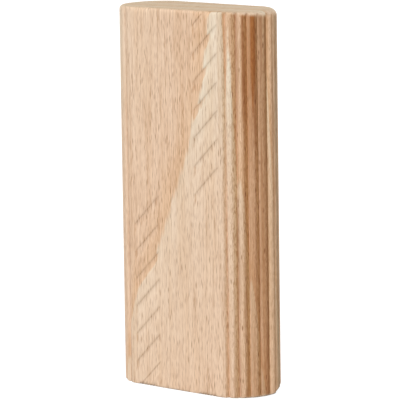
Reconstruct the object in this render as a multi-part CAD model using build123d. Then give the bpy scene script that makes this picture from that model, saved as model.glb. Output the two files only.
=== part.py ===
from build123d import *
import os
from math import ceil, cos, pi, radians, sin, tan

# Loose tenon of solid beech, standing on one end: a flat tongue with full-round edges.
# The round edges are fluted along the grain, so that glue and air can pass, and both broad
# faces carry slanted glue pockets, pressed into the long strip before it was cut to length.
# X runs across the width, Y through the thickness and Z along the length, with the grain.
# The origin is in the middle of the lower end, and the front face looks along -Y.
# Lengths are in millimetres and angles in degrees.

# Overall sizes
width = 24.0
thickness = 10.0
length = 50.0

# Easing of both ends: its radius, and how far outside the moulded surface its arc would begin
end_round = 0.6
end_round_stand_off = 0.02

# Flutes: rounded ribs between sharp valleys, with a smooth land beside each broad face
rib_pitch = 1.54
flute_depth = 0.38
least_land = 1.6

# One glue pocket: a shallow groove that falls at a slanted wall, runs level and ramps out below
pocket_depth = 0.08
pocket_wall_run = 0.2
pocket_floor = 0.8
pocket_run_out = 0.6
pocket_span = 4.4
pocket_slant = 44

# Two columns of pockets: one up the right half of a face, one down the left half
pocket_pitch = 3.66
first_pocket = 2.4
column_inset = 1.7

# Where the press left the middle of the pattern, seen from the middle of the face
press_shift_across = 0.3
press_shift_along = 0.85

# How far a cutter stands out of the surface that it cuts
cut_overrun = 0.1

# Sizes that follow
edge_radius = thickness / 2
flat_half = width / 2 - edge_radius
rib_angle = rib_pitch / edge_radius
rib_count = int((pi * edge_radius - 2 * least_land) / rib_pitch)


def edge_point(angle, depth=0):
    """Point on the right round edge, turned from the front face's normal and sunk by a depth."""
    radius = edge_radius - depth
    return Vector(flat_half + radius * sin(angle), -radius * cos(angle))


def rib(start):
    """Rounded crest between two valleys, the first of them at the given angle."""
    return ThreePointArc(
        edge_point(start, flute_depth),
        edge_point(start + rib_angle / 2),
        edge_point(start + rib_angle, flute_depth),
    )


def fluted_edge():
    """Outline of the right round edge: a land that falls into a valley, the ribs, and a land."""
    first_valley = (pi - rib_count * rib_angle) / 2
    land_end = first_valley - rib_angle / 2
    land = ThreePointArc(edge_point(0), edge_point(land_end / 2), edge_point(land_end))
    fall = TangentArc(land @ 1, edge_point(first_valley, flute_depth), tangent=land % 1)
    ribs = [rib(first_valley + i * rib_angle) for i in range(rib_count)]
    return [land, fall] + ribs + [mirror(edge, about=Plane.XZ) for edge in (land, fall)]


def moulded_strip():
    """Strip cut to length: two flats joined by two fluted round edges, carried along the grain."""
    flat = Line((-flat_half, -edge_radius), (flat_half, -edge_radius))
    front_half = [flat] + fluted_edge()
    back_half = [Rot(Z=180) * edge for edge in front_half]
    return extrude(make_face(front_half + back_half), length)


def eased_blank():
    """Smooth tongue just clear of the moulded surface, with both ends rounded over."""
    outline = SlotOverall(width + 2 * end_round_stand_off, thickness + 2 * end_round_stand_off)
    blank = extrude(outline, length)
    return fillet(blank.faces().filter_by(Axis.Z).edges(), end_round)


def pocket_cutter():
    """Cutter for one pocket in a front face at Y = 0, with the middle of its wall's top at the origin."""
    floor_start = Vector(0, pocket_depth, -pocket_wall_run)
    floor_end = floor_start - Vector(0, 0, pocket_floor)
    growth = 1 + cut_overrun / pocket_depth
    wall_top = floor_start + Vector(0, -pocket_depth, pocket_wall_run) * growth
    ramp_end = floor_end + Vector(0, -pocket_depth, -pocket_run_out) * growth
    profile = make_face(Polyline(wall_top, floor_start, floor_end, ramp_end, close=True))
    rise = pocket_span * tan(radians(pocket_slant))
    return Pos(-pocket_span / 2, 0, -rise / 2) * Solid.extrude(profile.face(), Vector(pocket_span, 0, rise))


def glue_pockets():
    """Cutters for the pockets of both faces, which run out at the ends where the strip was cut."""
    column = flat_half - column_inset
    per_column = ceil(length / 2 / pocket_pitch)
    steps = [first_pocket + i * pocket_pitch for i in range(per_column)]
    middle = Pos(press_shift_across, -edge_radius, length / 2 + press_shift_along)
    cutter = middle * pocket_cutter()
    front = [Pos(side * column, 0, side * step) * cutter for side in (1, -1) for step in steps]
    return front + [Rot(Z=180) * pocket for pocket in front]


def tenon():
    """The moulded strip, eased at its ends and pressed with its glue pockets."""
    return (moulded_strip() & eased_blank()) - glue_pockets()


os.makedirs("parts", exist_ok=True)
export_step(tenon(), "parts/tenon.step")
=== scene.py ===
import math

import bpy
import numpy as np
from bpy.props import FloatProperty, FloatVectorProperty, PointerProperty
from bpy.types import Operator, Panel, PropertyGroup
from mathutils import Matrix, Vector


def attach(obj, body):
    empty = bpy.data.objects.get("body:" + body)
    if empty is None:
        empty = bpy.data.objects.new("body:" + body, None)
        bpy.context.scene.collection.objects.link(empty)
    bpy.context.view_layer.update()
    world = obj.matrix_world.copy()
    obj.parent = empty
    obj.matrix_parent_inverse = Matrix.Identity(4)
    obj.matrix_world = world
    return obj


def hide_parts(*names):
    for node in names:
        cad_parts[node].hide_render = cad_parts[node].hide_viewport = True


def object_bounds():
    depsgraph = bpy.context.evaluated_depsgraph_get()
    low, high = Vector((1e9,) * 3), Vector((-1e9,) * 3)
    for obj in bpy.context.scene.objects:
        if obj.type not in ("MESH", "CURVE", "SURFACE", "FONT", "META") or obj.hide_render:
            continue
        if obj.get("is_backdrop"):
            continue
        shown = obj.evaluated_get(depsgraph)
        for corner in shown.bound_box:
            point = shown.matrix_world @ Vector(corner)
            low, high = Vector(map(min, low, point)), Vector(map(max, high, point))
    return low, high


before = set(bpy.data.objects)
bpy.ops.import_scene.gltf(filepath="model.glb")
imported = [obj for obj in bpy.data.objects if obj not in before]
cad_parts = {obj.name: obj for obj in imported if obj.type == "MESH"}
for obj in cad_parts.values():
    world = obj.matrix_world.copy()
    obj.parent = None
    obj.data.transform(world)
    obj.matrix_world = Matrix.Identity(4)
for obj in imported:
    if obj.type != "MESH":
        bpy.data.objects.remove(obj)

bl_info = {
    "name": "Loose Tenon",
    "version": (1, 0, 0),
    "blender": (4, 5, 0),
    "location": "View3D > Sidebar > Loose Tenon",
    "description": "Shapes a fluted beech loose tenon and sets up the studio that it stands in",
    "category": "Object",
}

MM = 0.001
CAD_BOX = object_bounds()
CAD_SIZE = CAD_BOX[1] - CAD_BOX[0]


def length_property(name, description, millimetres):
    """Property for a length, given in millimetres and kept in metres."""
    return FloatProperty(name=name, description=description, default=millimetres * MM, unit="LENGTH")


def angle_property(name, description, degrees):
    """Property for an angle, given in degrees."""
    return FloatProperty(name=name, description=description, default=math.radians(degrees), subtype="ANGLE")


def share_property(name, description, share):
    """Property for a share of the whole."""
    return FloatProperty(name=name, description=description, default=share, subtype="FACTOR")


def strength_property(name, description, strength):
    """Property for the strength of a light."""
    return FloatProperty(name=name, description=description, default=strength, min=0)


def colour_property(name, description, colour):
    """Property for a linear colour."""
    return FloatVectorProperty(
        name=name, description=description, default=colour, subtype="COLOR", min=0, max=1
    )


class TenonSizes(PropertyGroup):
    """Sizes of the tenon. X runs across the width, Y through the thickness and Z along the grain."""

    length: length_property("Length", "From end to end, along the grain", CAD_SIZE.z / MM)
    thickness: length_property("Thickness", "Between the two flat faces", CAD_SIZE.y / MM)
    width: length_property("Width", "Across the full-round edges", 24.0)
    upper_face_round: length_property("Upper Face Round", "Easing of the upper end on the faces", 0.36)
    upper_edge_round: length_property("Upper Edge Round", "Easing of the upper end on the edges", 0.94)
    lower_face_round: length_property("Lower Face Round", "Easing of the lower end on the faces", 0.08)
    lower_edge_round: length_property("Lower Edge Round", "Easing of the lower end on the edges", 0.42)
    back_drift: share_property("Back Drift", "Growth of the ends' easing to the back", 0.25)
    corner_growth: share_property("Corner Growth", "Growth of the ends' easing at the worn side", 0.6)
    rim_waver: share_property("Rim Waver", "Unevenness of the ends' easing", 0.06)
    rim_wave: length_property("Rim Wave", "Length of the short waves in it, per radian", 1.3)
    rim_long_wave: length_property("Rim Long Wave", "Length of the long waves in it, per radian", 3.1)
    worn_turn: angle_property("Worn Side", "Turn of the worn side from the front face's normal", 131.8)
    bevel_depth: length_property("Bevel Depth", "Depth of the bevel on the lower end's worn side", 0.87)
    bevel_height: length_property("Bevel Height", "Height of that bevel", 0.93)
    rib_pitch: length_property("Rib Pitch", "From rib to rib round an edge", 1.54)
    flute_depth: length_property("Flute Depth", "Depth of a valley between two ribs", 0.38)
    least_land: length_property("Least Land", "Smooth strip beside a flat face", 1.6)
    pocket_depth: length_property("Pocket Depth", "Depth of a glue pocket", 0.08)
    pocket_wall_run: length_property("Pocket Wall Run", "Run of a pocket's steep wall", 0.2)
    pocket_floor: length_property("Pocket Floor", "Level floor of a pocket below its wall", 0.8)
    pocket_run_out: length_property("Pocket Run-Out", "Ramp from a pocket's floor to the face", 0.6)
    pocket_span: length_property("Pocket Span", "Width of a column of pockets", 4.4)
    pocket_slant: angle_property("Pocket Slant", "Rise of a pocket's wall", 44)
    pocket_pitch: length_property("Pocket Pitch", "From pocket to pocket up a column", 3.66)
    first_pocket: length_property("First Pocket", "From the pattern's middle to a wall", 2.4)
    column_inset: length_property("Column Inset", "From a flat's edge to a column's middle", 1.7)
    press_shift_across: length_property("Press Shift Across", "Pattern's offset across the face", 0.3)
    press_shift_along: length_property("Press Shift Along", "Pattern's offset along the grain", 0.85)
    edge_step: length_property("Edge Step", "Longest mesh edge round a rib", 0.12)
    face_step: length_property("Face Step", "Longest mesh edge on a flat", 0.5)
    rim_step: length_property("Rim Step", "Longest mesh edge over an eased rim", 0.16)


class BeechColours(PropertyGroup):
    """Colours of the bare beech, and what each mark takes away from them."""

    early: colour_property("Early Wood", "Pale wood just after a ring's boundary", (0.95, 0.83, 0.66))
    late: colour_property("Late Wood", "Pinkish wood just before a ring's boundary", (0.93, 0.68, 0.49))
    last: colour_property("Last Wood", "Tint of the last wood before a boundary", (0.965, 0.92, 0.85))
    streak: colour_property("Streak", "Tint of the broad streaks along the grain", (0.96, 0.93, 0.89))
    fibre: colour_property("Fibre", "Tint of the fine fibres", (0.62, 0.48, 0.36))
    fleck: colour_property("Fleck", "Tint of the ray flecks", (0.42, 0.26, 0.15))
    heart: colour_property("Heart", "Tint of the brown streaks on one edge", (0.48, 0.26, 0.11))
    rose: colour_property("Rose", "Tint of the rosy streak beside the heartwood", (0.64, 0.50, 0.385))
    # Partly a brown streak and partly painted shade of the ribs towards the back of the right edge.
    far: colour_property("Far Streak", "Tint of the brown streak towards the back", (0.55, 0.54, 0.51))
    edge: colour_property("Edge", "Tint of the wood deeper in from the face", (1.0, 0.93, 0.83))
    # Partly crushing of the wood and partly painted shade, laid in the flute valleys and the pocket creases.
    crushed_and_shaded: colour_property("Crushed And Shaded", "Tint of wood crushed by the press or the cutter", (0.66, 0.50, 0.36))
    # Painted shade: this tint darkens the flank of each rib on the right edge that turns away from the front.
    painted_flank_shade: colour_property("Painted Flank Shade", "Tint of the flank of a rib away from the front", (0.56, 0.40, 0.18))
    end_grain: colour_property("End Grain", "Tint of the sawn ends", (0.58, 0.58, 0.54))


class StudioSettings(PropertyGroup):
    """Camera and light."""

    azimuth: angle_property("Azimuth", "Camera's turn to the right of the front", 41.82)
    elevation: angle_property("Elevation", "Camera's height above the tenon's middle", 8.394)
    tilt: angle_property("Tilt", "How far down the camera looks", 8.454)
    roll: angle_property("Roll", "Camera's turn about its own axis", -0.8235)
    distance: length_property("Distance", "Camera to the tenon's middle", 424.6)
    lens: FloatProperty(name="Lens", description="Focal length", default=291.88, unit="CAMERA")
    left_azimuth: angle_property("Left Azimuth", "Left lamp's turn to the right of the front", -40)
    left_strength: strength_property("Left Strength", "Left lamp", 1.55)
    right_azimuth: angle_property("Right Azimuth", "Right lamp's turn to the right of the front", 45)
    right_strength: strength_property("Right Strength", "Right lamp", 2.13)
    back_azimuth: angle_property("Back Azimuth", "Back lamp's turn to the right of the front", 122)
    back_strength: strength_property("Back Strength", "Back lamp", 0.33)
    far_azimuth: angle_property("Far Azimuth", "Far lamp's turn to the right of the front", 200)
    far_strength: strength_property("Far Strength", "Far lamp", 1.2)
    lamp_elevation: angle_property("Lamp Elevation", "Height of the lamps", 38)
    lamp_spread: angle_property("Lamp Spread", "Width of a lamp in the sky", 40)
    sky: strength_property("Sky", "Even light from all round", 0.08)
    floor_colour: colour_property("Floor", "Floor as the tenon sees it", (0.35, 0.35, 0.35))
    floor_shade: colour_property("Floor Shade", "Part of its white that the lamps give", (0.3, 0.3, 0.3))
    floor_glow: strength_property("Floor Glow", "Part of its white that stays in the shadow", 0.85)
    floor_half: length_property("Floor Half", "From the tenon to the floor's sides", 3000)
    floor_gap: length_property("Floor Gap", "How far the floor lies below the tenon", 0.01)


def round_edge(sizes):
    """Radius of the round edges, half the width of a flat face, and half the way round the tongue."""
    radius = sizes.thickness / 2
    flat_half = sizes.width / 2 - radius
    return radius, flat_half, 2 * flat_half + math.pi * radius


def rib_angles(sizes):
    """Angle taken by one rib, and that of the first valley from a flat face's normal."""
    radius = round_edge(sizes)[0]
    rib = sizes.rib_pitch / radius
    count = int((math.pi * radius - 2 * sizes.least_land) / sizes.rib_pitch)
    return rib, (math.pi - count * rib) / 2


def flute_inset(sizes, angle):
    """Depth of the fluted surface below the smooth round, at an angle from a flat face's normal.

    A rib is an arc that touches the round at its crest and dips by the flute depth at its valleys.
    With q its radius and c the distance of its centre from the edge's centre, c + q is the edge's
    radius, and at an angle d from the crest it lies c cos d + sqrt(q^2 - c^2 sin^2 d) from there.
    """
    radius = round_edge(sizes)[0]
    rib, first_valley = rib_angles(sizes)
    valley = radius - sizes.flute_depth
    reach = radius - valley * math.cos(rib / 2)
    rib_radius = (valley**2 + radius**2 - 2 * valley * radius * math.cos(rib / 2)) / (2 * reach)
    centre = radius - rib_radius
    on_ribs = np.mod(angle - first_valley + 1e-9, rib) - rib / 2
    on_land = np.maximum(angle - first_valley + rib / 2, 0)
    turn = np.where(angle < first_valley - 1e-9, on_land, on_ribs)
    return radius - centre * np.cos(turn) - np.sqrt(rib_radius**2 - (centre * np.sin(turn)) ** 2)


def flank_share(sizes, angle):
    """Place across a rib of the right edge, from 0 at the valley nearer the front to 1 at the next one.

    angle turns from the front face's normal to the back one's. On the front land the share grows evenly
    over its fall to the first valley, and it is 0 on the rest of the lands.
    """
    rib, first_valley = rib_angles(sizes)
    fall_width = 0.65 * rib
    fall = np.clip((angle - first_valley) / fall_width + 1, 0, 1)
    on_rib = np.mod(angle - first_valley + 1e-9, rib) / rib
    on_back = angle > math.pi - first_valley - 1e-9
    return np.where(angle < first_valley - 1e-9, fall, np.where(on_back, 0, on_rib))


def smooth(share):
    """Smooth step from 0 to 1 as share goes from 0 to 1: 3 x^2 - 2 x^3, held outside."""
    share = np.clip(share, 0, 1)
    return share * share * (3 - 2 * share)


def pocket_columns(sizes):
    """Left and right sides of the two columns of pockets, from the face's middle."""
    flat_half = round_edge(sizes)[1]
    column = flat_half - sizes.column_inset
    half = sizes.pocket_span / 2
    return np.array([-column - half, -column + half, column - half, column + half]) + sizes.press_shift_across


def pocket_walls(sizes):
    """Heights of the first wall of the left column and of the right column, at the columns' middles."""
    middle = sizes.length / 2 + sizes.press_shift_along
    return middle - sizes.first_pocket, middle + sizes.first_pocket


def below_wall(sizes, across, along):
    """Distance below the nearest wall above, and whether a pocket is there.

    across is the place on the face and along the height with the slant taken off.
    """
    left_wall, right_wall = pocket_walls(sizes)
    on_left = across < sizes.press_shift_across
    below = np.mod(np.where(on_left, left_wall, right_wall) - along + 1e-9, sizes.pocket_pitch)
    in_column = np.where(on_left, along <= left_wall, along >= right_wall - sizes.pocket_pitch / 2)
    return below, in_column


def inside_column(sizes, across):
    """Distances inwards from the left and right sides of the nearer column of pockets, below 0 outside."""
    left_0, left_1, right_0, right_1 = pocket_columns(sizes)
    on_left = across < sizes.press_shift_across
    return across - np.where(on_left, left_0, right_0), np.where(on_left, left_1, right_1) - across


def pocket_shares(sizes, across, along):
    """Depth of the glue pockets below a flat face and the crease of their walls, as shares of the most.

    Below each wall's top the depth grows over the wall's run, stays over the floor and fades over
    the run-out, and at the sides of a column it grows over the same run. The crease is a weak
    bell over each wall, and a peak at the foot of each pocket's left side; the beech darkens it
    partly as painted shade.
    """
    run = sizes.pocket_wall_run
    below, in_column = below_wall(sizes, across, along)
    from_left, from_right = inside_column(sizes, across)
    fall = smooth(below / run) * (1 - smooth((below - run - sizes.pocket_floor) / sizes.pocket_run_out))
    sides = smooth(np.minimum(from_left, from_right) / run)
    wall = 0.35 * np.exp(-(2 * below / run - 1) ** 2) * sides
    foot = np.maximum(1 - np.abs(from_left - run) / run, 0) * fall
    return in_column * fall * sides, in_column * np.maximum(wall, foot)


def graded(marks, steps):
    """Rising positions that hold each mark but the last, with each gap cut evenly to at most its step."""
    gaps = np.diff(marks)
    counts = np.maximum(np.ceil(gaps / steps - 1e-6), 1).astype(int)
    place = np.arange(counts.sum()) - np.repeat(np.cumsum(counts) - counts, counts)
    return np.repeat(marks[:-1], counts) + np.repeat(gaps / counts, counts) * place


def columns_round(sizes):
    """Places of the mesh columns on the front half of the outline, the same on both sides of its middle."""
    radius, flat_half, half_way = round_edge(sizes)
    rib, first_valley = rib_angles(sizes)
    valleys = flat_half + radius * np.arange(first_valley, math.pi / 2 + rib / 4, rib)
    sides = np.abs(pocket_columns(sizes))
    run = sizes.pocket_wall_run
    steps = run * np.arange(-2, 3)
    marks = np.concatenate([valleys, np.add.outer(sides, steps).ravel(), [flat_half, 0, half_way / 2]])
    marks = np.unique(np.round(np.concatenate([marks, -marks]), 9))
    on_flat = np.abs(marks[1:] + marks[:-1]) / 2 < flat_half
    return graded(marks, np.where(on_flat, sizes.face_step, sizes.edge_step))


def rows_along(sizes):
    """Places of the mesh rows, from the middle of the lower end to the middle of the upper end."""
    radius = round_edge(sizes)[0]
    left_wall, right_wall = pocket_walls(sizes)
    run = sizes.pocket_wall_run
    floor_end = run + sizes.pocket_floor
    steps = np.array([0, run / 3, 2 * run / 3, run, floor_end, floor_end + sizes.pocket_run_out])
    walls = np.concatenate([
        np.arange(right_wall, sizes.length + radius, sizes.pocket_pitch),
        np.arange(left_wall, -radius, -sizes.pocket_pitch),
    ])
    reach = sizes.pocket_span / 2 * math.tan(sizes.pocket_slant) + sizes.bevel_height
    ends = np.array([-radius, -reach, reach])
    marks = np.concatenate([np.subtract.outer(walls, steps).ravel(), ends, sizes.length - ends])
    marks = np.unique(np.round(marks[(marks >= -radius) & (marks <= sizes.length + radius)], 9))
    middles = (marks[1:] + marks[:-1]) / 2
    near_rim = np.minimum(np.abs(middles), np.abs(middles - sizes.length)) < reach
    rows = graded(marks, np.where(near_rim, sizes.rim_step, sizes.face_step))
    return np.append(rows, marks[-1])


def easing(sizes, x, nx, ny, is_top):
    """Radius of the easing at a place round an end.

    (nx, ny) points outwards there. The radius goes from that of the flat faces to that of the round edges
    with the square of nx, grows to the back and on the worn side, and wavers along the rim.
    """
    on_face = np.where(is_top, sizes.upper_face_round, sizes.lower_face_round)
    on_edge = np.where(is_top, sizes.upper_edge_round, sizes.lower_edge_round)
    wave = sizes.rim_waver * np.sin(x / sizes.rim_wave + 2 * is_top) * np.cos(x / sizes.rim_long_wave + 1)
    worn = np.maximum(math.sin(sizes.worn_turn) * nx - math.cos(sizes.worn_turn) * ny, 0) ** 3
    growth = sizes.back_drift * ny + sizes.corner_growth * worn + wave
    return on_face * (1 + growth) + (on_edge - on_face) * nx * nx


def bevel(sizes, turn, height):
    """Depth of the flat bevel that wear has left on one side of the lower end.

    A plane lies across the right round edge, deepest at the lower end and on the worn side. At an
    angle d from there it stands its own distance from the edge's axis, divided by cos d, off that axis.
    """
    radius = round_edge(sizes)[0]
    away = np.clip(turn - sizes.worn_turn, -1, 1)
    plane = radius - sizes.bevel_depth * (1 - height / sizes.bevel_height)
    return np.maximum(radius - plane / np.cos(away), 0)


def tenon_surface(sizes):
    """The tenon's whole surface on one grid, with the marks that its finish reads.

    The first parameter goes from the middle of the lower end over its rim, up the side and over the
    upper rim to the middle of the upper end, and the second goes round the outline. The rows rise
    with the slant of the pockets, so that each wall follows a row, and level out towards the middles
    of the ends. A point stands on the outline's normal, sunk by the deepest of flute, pocket and bevel,
    and over a rim by the easing too: a quarter turn from the side to the end, and level from there.
    """
    radius, flat_half, half_way = round_edge(sizes)
    front = columns_round(sizes)
    rows = rows_along(sizes)[:, None]
    round_way = np.concatenate([front, front + half_way])[None, :]
    back = round_way >= half_way / 2 - 1e-9
    side = np.where(back, -1, 1)
    across = np.where(back, round_way - half_way, round_way)
    turn = np.maximum(np.abs(across) - flat_half, 0) / radius
    right_turn = np.where(side * across > 0, np.where(back, math.pi - turn, turn), 0)
    spine = np.clip(across, -flat_half, flat_half)
    lean = np.sign(across) * np.sin(turn)

    rise = sizes.pocket_span * math.tan(sizes.pocket_slant)
    slant = np.interp(
        round_way, pocket_columns(sizes), np.array([-0.5, 0.5, -0.5, 0.5]) * rise, period=half_way
    )
    from_end_middle = sizes.length / 2 + radius - np.abs(rows - sizes.length / 2)
    levelling = 0.8 * radius
    height = rows + slant * np.clip(from_end_middle / levelling, 0, 1)

    is_top = height > sizes.length / 2
    from_end = np.where(is_top, sizes.length - height, height)
    eased = easing(sizes, side * (spine + radius * lean), side * lean, -side * np.cos(turn), is_top)
    turned = np.maximum(eased, 2 * sizes.rim_step)
    over = np.clip((eased - from_end) / (eased + turned), 0, 1)
    arc = over * math.pi / 2
    inwards = np.maximum(-from_end - turned, 0) / (radius - turned)
    rim_inset = eased * (1 - np.cos(arc)) + (radius - eased) * inwards
    rim_height = eased * (1 - np.sin(arc)) + np.maximum(from_end - eased, 0)

    flute = np.broadcast_to(flute_inset(sizes, turn), height.shape)
    pressed, crease = pocket_shares(sizes, across, rows)
    pocket = sizes.pocket_depth * pressed - radius * (1 - np.cos(turn))
    worn = np.where(is_top, 0, bevel(sizes, right_turn, rim_height))
    side_out = radius - np.maximum(np.maximum(flute, pocket), worn)
    rim_out = radius - rim_inset
    out = np.minimum(rim_out, side_out * np.minimum(rim_out / (radius - eased), 1))
    points = np.stack([
        side * (spine + lean * out),
        -side * np.cos(turn) * out,
        np.where(is_top, sizes.length - rim_height, rim_height),
    ], axis=-1)

    on_side = from_end > 0
    marks = {
        "valley": (flute / sizes.flute_depth) ** 4 * on_side,
        "crease": crease * on_side,
        "flank": flank_share(sizes, right_turn) * on_side,
        "fresh": smooth(2 * over),
        "end_grain": smooth(over),
    }
    sharp = (flute > 0.99 * sizes.flute_depth) & (rim_inset < sizes.flute_depth)
    return points, marks, sharp


def grid_mesh(name, points, marks, sharp):
    """Mesh of a grid that closes on itself round about and whose first and last rows are seams.

    Points of a seam that fall together become one, and a quad that loses a side there becomes a
    triangle. Each mark becomes a value of the vertices, and edges up a sharp column are kept sharp.
    """
    rows, columns = points.shape[:2]
    index = np.arange(rows * columns).reshape(rows, columns)
    for seam in (0, rows - 1):
        _, first, place = np.unique(np.round(points[seam], 7), axis=0, return_index=True, return_inverse=True)
        index[seam] = index[seam, first][place.ravel()]
    right = np.roll(index, -1, axis=1)
    corners = np.stack([index[:-1], right[:-1], right[1:], index[1:]], axis=-1)
    used, corners = np.unique(corners, return_inverse=True)
    corners = corners.reshape(-1, 4)
    low = corners[:, 0] == corners[:, 1]
    high = corners[:, 2] == corners[:, 3]
    triangles = np.concatenate([corners[low][:, 1:], corners[high][:, :3]])
    quads = corners[~(low | high)]
    mesh = bpy.data.meshes.new(name)
    mesh.from_pydata(points.reshape(-1, 3)[used], [], quads.tolist() + triangles.tolist())
    for mark, values in marks.items():
        attribute = mesh.attributes.new(mark, "FLOAT", "POINT")
        attribute.data.foreach_set("value", values.ravel()[used].astype(np.float32))
    ends = np.empty(2 * len(mesh.edges), dtype=np.int32)
    mesh.edges.foreach_get("vertices", ends)
    ends = used[ends.reshape(-1, 2)]
    same_column = ends[:, 0] % columns == ends[:, 1] % columns
    kept_sharp = same_column & sharp.ravel()[ends].all(axis=1)
    mesh.shade_smooth()
    mesh.attributes.new("sharp_edge", "BOOLEAN", "EDGE").data.foreach_set("value", kept_sharp)
    mesh.validate()
    return mesh


class Term:
    """A number that a shader works out: arithmetic on it adds Math nodes."""

    def __init__(self, graph, socket):
        self.graph = graph
        self.socket = socket

    def __add__(self, other):
        return self.graph.math("ADD", self, other)

    __radd__ = __add__

    def __sub__(self, other):
        return self.graph.math("SUBTRACT", self, other)

    def __rsub__(self, other):
        return self.graph.math("SUBTRACT", other, self)

    def __mul__(self, other):
        return self.graph.math("MULTIPLY", self, other)

    __rmul__ = __mul__

    def __truediv__(self, other):
        return self.graph.math("DIVIDE", self, other)

    def __rtruediv__(self, other):
        return self.graph.math("DIVIDE", other, self)

    def __pow__(self, other):
        return self.graph.math("POWER", self, other)

    def __rpow__(self, other):
        return self.graph.math("POWER", other, self)


class Graph:
    """The node tree of a material or of the world, emptied, with short ways to add to it."""

    def __init__(self, owner):
        owner.use_nodes = True
        self.tree = owner.node_tree
        self.tree.nodes.clear()

    def node(self, kind, settings=None, sockets=None):
        """Adds a node, makes its settings, and then fills its sockets with values or links."""
        node = self.tree.nodes.new(kind)
        for name, value in (settings or {}).items():
            setattr(node, name, value)
        for key, value in (sockets or {}).items():
            socket = node.inputs[key]
            if isinstance(value, Term):
                value = value.socket
            if isinstance(value, bpy.types.NodeSocket):
                self.tree.links.new(value, socket)
            else:
                socket.default_value = value
        return node

    def math(self, operation, *values):
        """Number from a Math node."""
        node = self.node("ShaderNodeMath", {"operation": operation}, dict(enumerate(values)))
        return Term(self, node.outputs[0])

    def most(self, first, *others):
        """The greatest of several numbers."""
        for other in others:
            first = self.math("MAXIMUM", first, other)
        return first

    def band(self, value, start, end):
        """Number that goes smoothly from 0 to 1 as value goes from start to end."""
        node = self.node(
            "ShaderNodeMapRange", {"interpolation_type": "SMOOTHSTEP"},
            {"Value": value, "From Min": start, "From Max": end},
        )
        return Term(self, node.outputs["Result"])

    def tint(self, factor, colour, tint):
        """Colour multiplied by a tint, as far as factor says."""
        settings = {"data_type": "RGBA", "blend_type": "MULTIPLY"}
        node = self.node("ShaderNodeMix", settings, {0: factor, 6: colour, 7: (*tint, 1)})
        return node.outputs[2]

    def blend(self, factor, first, second):
        """Colour between two colours."""
        node = self.node("ShaderNodeMix", {"data_type": "RGBA"}, {0: factor, 6: first, 7: second})
        return node.outputs[2]

    def place(self):
        """Object coordinates in metres."""
        return self.node("ShaderNodeTexCoord").outputs["Object"]

    def stretched(self, size, offset=(0, 0, 0)):
        """Object coordinates in cells of a size, in millimetres."""
        scale = tuple(1 / (MM * length) for length in size)
        return self.node(
            "ShaderNodeMapping", {}, {"Vector": self.place(), "Scale": scale, "Location": offset}
        ).outputs["Vector"]

    def noise(self, size, detail=2.0, offset=(0, 0, 0)):
        """Noise from 0 to 1 with lumps of a size, in millimetres."""
        node = self.node(
            "ShaderNodeTexNoise", {}, {"Vector": self.stretched(size, offset), "Scale": 1.0, "Detail": detail}
        )
        return Term(self, node.outputs["Fac"])

    def cells(self, size, offset=(0, 0, 0)):
        """Distance from the nearest of scattered points, in cells of a size, and two chances of its own."""
        node = self.node("ShaderNodeTexVoronoi", {}, {"Vector": self.stretched(size, offset), "Scale": 1.0})
        colour = self.node("ShaderNodeSeparateColor", {}, {"Color": node.outputs["Color"]})
        sockets = (node.outputs["Distance"], colour.outputs[0], colour.outputs[1])
        return tuple(Term(self, socket) for socket in sockets)

    def mark(self, name):
        """Value of one of the mesh's marks."""
        return Term(self, self.node("ShaderNodeAttribute", {"attribute_name": name}).outputs["Fac"])


class BeechGraph(Graph):
    """The node tree of the beech, with the places in millimetres and the marks that its layers read."""

    def __init__(self, material, sizes):
        super().__init__(material)
        axes = self.node("ShaderNodeSeparateXYZ", {}, {"Vector": self.stretched((1, 1, 1))})
        self.x, y, self.z = (Term(self, axes.outputs[i]) for i in range(3))
        self.depth = y + sizes.thickness / MM / 2
        self.down = sizes.length / MM - self.z
        self.sawn = self.mark("end_grain")
        self.flank = self.mark("flank")
        self.face = 1 - self.band(self.math("ABSOLUTE", self.x), 7.5, 9.5)
        self.side = self.band(self.x, 7.0, 9.0) * (1 - self.mark("fresh"))
        self.ragged = self.noise((0.1, 0.1, 0.9), detail=2, offset=(2, 5, 1))


def growth_rings(graph, colours):
    """Colour of the growth rings, and the share of late wood in it.

    Rings pass through the thickness and bend across the front face. After each pale boundary the pinkish
    late wood comes back, quickly at first, and it is weaker towards the lower end.
    """
    wander = graph.noise((4, 4, 14), detail=3) + 0.6 * graph.noise((0.5, 0.5, 5), detail=2) - 0.8
    boundary = 6.6 - 0.09 * graph.down - 0.0066 * graph.down * graph.down
    ring = (0.15 * (graph.x - boundary) - 0.986 * graph.depth + 0.35 * wander) / 3.95
    phase = graph.math("FRACT", ring)
    end = 1 - graph.band(phase, 0.975, 1.0)
    late = 1 - (1 - phase**0.4 * end) * (1 - 0.45 * graph.band(graph.down, 8.0, 24.0))
    wood = graph.blend(late, (*colours.early, 1), (*colours.late, 1))
    return graph.tint(graph.band(phase, 0.84, 0.97) * end, wood, colours.last), late


def add_fibres(graph, colours, wood, coarse):
    """Wood with broad streaks and fine fibres along the grain, and torn fibres on the right edge's ribs."""
    broad = graph.band(graph.noise((0.9, 0.9, 28), detail=3), 0.4, 0.7)
    wood = graph.tint(broad * (1 - 0.7 * graph.sawn), wood, colours.streak)
    long = graph.band(graph.noise((0.12, 0.3, 8.0), detail=1, offset=(8, 6, 2)), 0.4, 0.8)
    short = graph.band(graph.noise((0.1, 0.3, 1.1), detail=1, offset=(3, 1, 7)), 0.4, 0.8)
    fine = (0.55 * long + 0.5 * short) * coarse * (1 - 0.6 * graph.sawn)
    tears = graph.band(graph.noise((0.14, 0.14, 0.7), detail=2, offset=(6, 2, 9)), 0.45, 0.65)
    torn = graph.side * (0.3 + 0.7 * graph.flank) * tears
    return graph.tint(graph.most(fine, torn), wood, colours.fibre)


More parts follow.
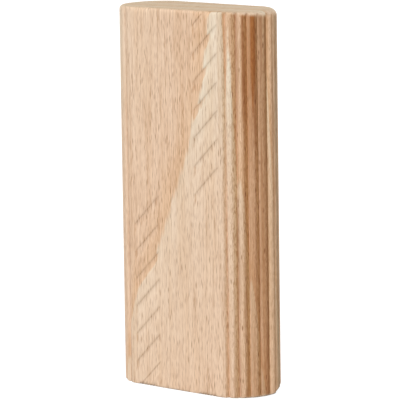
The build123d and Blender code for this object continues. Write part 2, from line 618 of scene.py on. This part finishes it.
def ray_flecks(graph, coarse):
    """Share of the dark flecks: small and large ones on the faces, and dashes on the right edge's ribs."""
    near, chance, strength = graph.cells((0.15, 2.0, 1.5))
    small = (1 - graph.band(near, 0.15, 0.4)) * graph.band(chance, 0.3, 0.6) * (0.1 + 0.9 * strength)
    crowd = graph.noise((3.0, 5.0, 6.0), detail=2, offset=(9, 2, 4))
    near, chance, strength = graph.cells((0.3, 4.0, 2.6), offset=(5, 3, 8))
    large = (1 - graph.band(near, 0.06, 0.26)) * graph.band(chance + crowd, 0.95, 1.15)
    large = large * (0.5 + 0.5 * strength)
    near, chance, strength = graph.cells((0.4, 0.4, 1.7), offset=(7, 1, 3))
    dash = (1 - graph.band(near, 0.08, 0.3)) * graph.band(chance, 0.5, 0.7) * (0.3 + 0.6 * strength)
    on_face = graph.face * graph.most(small * coarse, large)
    on_side = graph.side * dash * (1 - graph.band(graph.depth, 4.5, 6.0))
    return graph.most(on_face, on_side)


def add_tool_marks_and_painted_shade(graph, colours, wood):
    """Wood darkened in the valleys and at the pocket walls, partly by crushing and partly as painted shade,
    and painted shade on the flank of each right-edge rib that turns away from the front.
    """
    # On the right edge the valley darkening stays on the flank away from the front, the side that the painted
    # shade falls on.
    kept = 1 - graph.side * (1 - graph.flank)
    valley = graph.mark("valley") * kept * graph.band(graph.ragged, 0.25, 0.65)
    crease = graph.mark("crease") * graph.band(graph.ragged, 0.3, 0.6)
    # Darkens the flute valleys and the pocket creases: partly crushing of the wood, partly painted shade in
    # these recesses.
    wood = graph.tint(graph.most(0.95 * valley, 0.75 * crease), wood, colours.crushed_and_shaded)
    wood = graph.tint(graph.side * graph.band(graph.depth, 0.2, 2.5), wood, colours.edge)
    # Painted shade on the right edge's ribs: dark from about each rib's middle over the flank that turns away
    # from the front, a little stronger some way round from the front, and weaker near the back, most of all
    # towards the lower end.
    painted_flank_shade = graph.band(graph.flank + 0.3 * (graph.ragged - 0.5), 0.38, 0.75)
    fading = (0.35 - 0.2 * graph.band(graph.z, 10.0, 18.0)) * graph.band(graph.depth, 7.0, 7.6)
    deeper = 0.5 + 0.3 * graph.band(graph.depth, 0.5, 1.6) - fading
    return graph.tint(graph.side * painted_flank_shade * deeper, wood, colours.painted_flank_shade)


def add_edge_streaks(graph, colours, wood):
    """Wood with streaks along the right edge, one behind another: brown, rosy, and brown again.

    The brown ones are darkest towards the upper end, and paler wood parts them in the middle. The last one,
    towards the back, is partly a brown streak and partly painted shade of the ribs there.
    """

    def streak(start, full, fade, end):
        """Share that grows from 0 to 1 between two depths and fades between two more, in millimetres."""
        return graph.band(graph.depth, start, full) * (1 - graph.band(graph.depth, fade, end))

    gaps = graph.band(graph.noise((0.4, 0.4, 14), detail=3, offset=(1, 8, 2)), 0.3, 0.6)
    drift = graph.side * (0.65 + 0.45 * gaps)
    upper = graph.band(graph.z, 24.0, 42.0)
    pale = graph.band(graph.z, 23.0, 28.0) * (1 - graph.band(graph.z, 33.0, 38.0))
    heart = streak(2.2, 2.6, 2.8, 3.5) * (0.5 + 0.5 * upper)
    near = 0.35 - 0.35 * graph.band(graph.depth, 1.75, 2.1)
    margin = streak(1.25, 1.6, 2.8, 3.5) * (near + 0.3 * upper) * (1 - 0.4 * pale)
    tail = 0.3 * upper * streak(3.0, 3.3, 3.9, 4.3)
    thin = 0.22 * streak(1.1, 1.2, 1.27, 1.35) * (1 - pale)
    middle = 0.45 * streak(3.3, 3.45, 3.58, 3.68)
    back = 0.28 * streak(5.4, 5.7, 6.0, 6.35)
    brown = graph.most(heart, margin, tail, thin, middle, back)
    wood = graph.tint(drift * upper * streak(1.3, 1.6, 2.3, 2.6), wood, colours.edge)
    wood = graph.tint(drift * brown, wood, colours.heart)
    wood = graph.tint(drift * streak(3.5, 3.9, 4.5, 4.8), wood, colours.rose)
    # Towards the back: partly a brown streak and partly painted shade of the ribs' valleys there.
    return graph.tint(drift * streak(6.2, 7.1, 7.15, 7.4), wood, colours.far)


def bare_beech(sizes, colours):
    """Bare planed beech, as solid wood that runs through the piece, with the marks of the tools on it and
    painted shade on its ribs and pocket walls.
    """
    material = bpy.data.materials.new("bare_beech")
    graph = BeechGraph(material, sizes)
    wood, late = growth_rings(graph, colours)
    coarse = 0.5 + 0.5 * late
    wood = add_fibres(graph, colours, wood, coarse)
    fleck = ray_flecks(graph, coarse)
    wood = graph.tint(fleck, wood, colours.fleck)
    wood = add_tool_marks_and_painted_shade(graph, colours, wood)
    wood = add_edge_streaks(graph, colours, wood)
    wood = graph.tint(graph.sawn, wood, colours.end_grain)
    rough = graph.noise((0.09, 0.09, 2.5), detail=3, offset=(4, 4, 4))
    bump = graph.node(
        "ShaderNodeBump", {}, {"Height": 0.6 * rough - 0.5 * fleck, "Distance": 0.012 * MM, "Strength": 1.0}
    )
    shader = graph.node("ShaderNodeBsdfPrincipled", {}, {
        "Base Color": wood,
        "Roughness": 0.6 + 0.2 * rough + 0.25 * graph.sawn,
        "Specular IOR Level": 0.3,
        "Normal": bump.outputs["Normal"],
    })
    graph.node("ShaderNodeOutputMaterial", {}, {"Surface": shader.outputs["BSDF"]})
    return material


def seen_directly(graph):
    """1 on rays from the camera, also by way of a mirror or glass, and 0 on rays that carry light."""
    path = graph.node("ShaderNodeLightPath")
    rays = ("Is Camera Ray", "Is Glossy Ray", "Is Transmission Ray")
    return graph.most(*(path.outputs[ray] for ray in rays))


def floor_paint(studio):
    """Floor that looks white where it is lit and a little less so in the tenon's shadow."""
    material = bpy.data.materials.new("white_floor")
    graph = Graph(material)
    cloth = graph.node("ShaderNodeBsdfDiffuse", {}, {"Color": (*studio.floor_colour, 1)})
    thin = graph.node("ShaderNodeBsdfDiffuse", {}, {"Color": (*studio.floor_shade, 1)})
    glow = graph.node("ShaderNodeEmission", {}, {"Color": (1, 1, 1, 1), "Strength": studio.floor_glow})
    white = graph.node("ShaderNodeAddShader", {}, {0: thin.outputs[0], 1: glow.outputs[0]})
    paint = graph.node(
        "ShaderNodeMixShader", {}, {0: seen_directly(graph), 1: cloth.outputs[0], 2: white.outputs[0]}
    )
    graph.node("ShaderNodeOutputMaterial", {}, {"Surface": paint.outputs[0]})
    return material


def towards(azimuth, elevation):
    """Unit vector from the tenon, at an angle to the right of its front and above the floor."""
    level = math.cos(elevation)
    return Vector((math.sin(azimuth) * level, -math.cos(azimuth) * level, math.sin(elevation)))


def add_object(context, name, data):
    """Object at the origin."""
    piece = bpy.data.objects.new(name, data)
    context.scene.collection.objects.link(piece)
    return piece


def add_lamp(context, name, azimuth, strength):
    """Distant soft lamp that shines on the tenon from a direction."""
    studio = context.scene.studio_settings
    lamp = bpy.data.lights.new(name, "SUN")
    lamp.energy = strength
    lamp.angle = studio.lamp_spread
    turn = towards(azimuth, studio.lamp_elevation).to_track_quat("Z", "Y")
    add_object(context, name, lamp).matrix_world = turn.to_matrix().to_4x4()


class TENON_OT_shape(Operator):
    """Shape the tenon and leave it in bare beech"""

    bl_idname = "loose_tenon.shape"
    bl_label = "Shape Tenon"

    def execute(self, context):
        sizes = context.scene.tenon_sizes
        mesh = grid_mesh("beech_tenon", *tenon_surface(sizes))
        mesh.materials.append(bare_beech(sizes, context.scene.beech_colours))
        piece = add_object(context, "beech_tenon", mesh)
        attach(piece, "root")
        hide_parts("tenon")
        return {"FINISHED"}


class TENON_OT_stage(Operator):
    """Lay the floor and set up the lamps and the camera"""

    bl_idname = "loose_tenon.stage"
    bl_label = "Set Stage"

    def execute(self, context):
        scene = context.scene
        studio = scene.studio_settings

        data = bpy.data.cameras.new("camera")
        data.lens = studio.lens
        camera = add_object(context, "camera", data)
        middle = Vector((0, 0, scene.tenon_sizes.length / 2))
        place = middle + studio.distance * towards(studio.azimuth, studio.elevation)
        look = towards(studio.azimuth, studio.tilt).to_track_quat("Z", "Y").to_matrix().to_4x4()
        camera.matrix_world = Matrix.Translation(place) @ look @ Matrix.Rotation(studio.roll, 4, "Z")
        scene.camera = camera

        add_lamp(context, "left_lamp", studio.left_azimuth, studio.left_strength)
        add_lamp(context, "right_lamp", studio.right_azimuth, studio.right_strength)
        add_lamp(context, "back_lamp", studio.back_azimuth, studio.back_strength)
        add_lamp(context, "far_lamp", studio.far_azimuth, studio.far_strength)

        world = bpy.data.worlds.new("studio")
        graph = Graph(world)
        level = studio.sky + (1 - studio.sky) * seen_directly(graph)
        sky = graph.node("ShaderNodeBackground", {}, {"Color": (1, 1, 1, 1), "Strength": level})
        graph.node("ShaderNodeOutputWorld", {}, {"Surface": sky.outputs[0]})
        scene.world = world

        mesh = bpy.data.meshes.new("floor")
        corners = np.array([(-1, -1), (1, -1), (1, 1), (-1, 1)]) * studio.floor_half
        mesh.from_pydata(np.column_stack([corners, np.full(4, -studio.floor_gap)]), [], [(0, 1, 2, 3)])
        mesh.materials.append(floor_paint(studio))
        add_object(context, "floor", mesh)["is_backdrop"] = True
        scene.view_settings.view_transform = "Standard"
        return {"FINISHED"}


class VIEW3D_PT_loose_tenon(Panel):
    """Sizes, colours and light of the tenon, and the steps that make it"""

    bl_label = "Loose Tenon"
    bl_space_type = "VIEW_3D"
    bl_region_type = "UI"
    bl_category = "Loose Tenon"

    def draw(self, context):
        for operator, group in (
            ("loose_tenon.shape", context.scene.tenon_sizes),
            ("loose_tenon.shape", context.scene.beech_colours),
            ("loose_tenon.stage", context.scene.studio_settings),
        ):
            box = self.layout.box()
            box.operator(operator)
            for name in type(group).__annotations__:
                box.prop(group, name)


CLASSES = (TenonSizes, BeechColours, StudioSettings, TENON_OT_shape, TENON_OT_stage, VIEW3D_PT_loose_tenon)
GROUPS = {"tenon_sizes": TenonSizes, "beech_colours": BeechColours, "studio_settings": StudioSettings}


def register():
    for cls in CLASSES:
        bpy.utils.register_class(cls)
    for name, group in GROUPS.items():
        setattr(bpy.types.Scene, name, PointerProperty(type=group))


def unregister():
    for name in GROUPS:
        delattr(bpy.types.Scene, name)
    for cls in reversed(CLASSES):
        bpy.utils.unregister_class(cls)


def main():
    register()
    bpy.ops.loose_tenon.shape()
    bpy.ops.loose_tenon.stage()
    boxes = {"cad": CAD_BOX, "visual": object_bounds()}
    boxes = {name: [list(corner) for corner in box] for name, box in boxes.items()}


if __name__ == "__main__":
    main()
